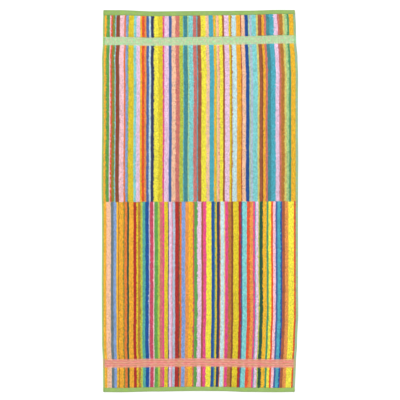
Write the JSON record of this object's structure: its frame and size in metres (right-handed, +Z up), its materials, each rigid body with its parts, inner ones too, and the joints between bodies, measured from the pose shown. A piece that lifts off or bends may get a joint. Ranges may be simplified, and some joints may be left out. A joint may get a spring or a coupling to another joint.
{
  "type": "bath towel",
  "caption": "Striped terry bath towel laid out flat in one layer, with two ribbed woven bands near its ends and turned hems on all sides.",
  "frame": {"origin": "on the surface that the towel lies on, under the middle of the cloth", "axes": "+X across the cloth, +Y along it towards the end with the pale green band, +Z up out of its face"},
  "size_m": [0.714, 1.3898, 0.008],
  "materials": {
    "terry_cotton": "looped cotton pile in many-coloured lengthwise stripes, soft and matt, with flat-woven hems and bands"
  },
  "bodies": {
    "root": {"towel": "terry_cotton"}
  },
  "joints": []
}
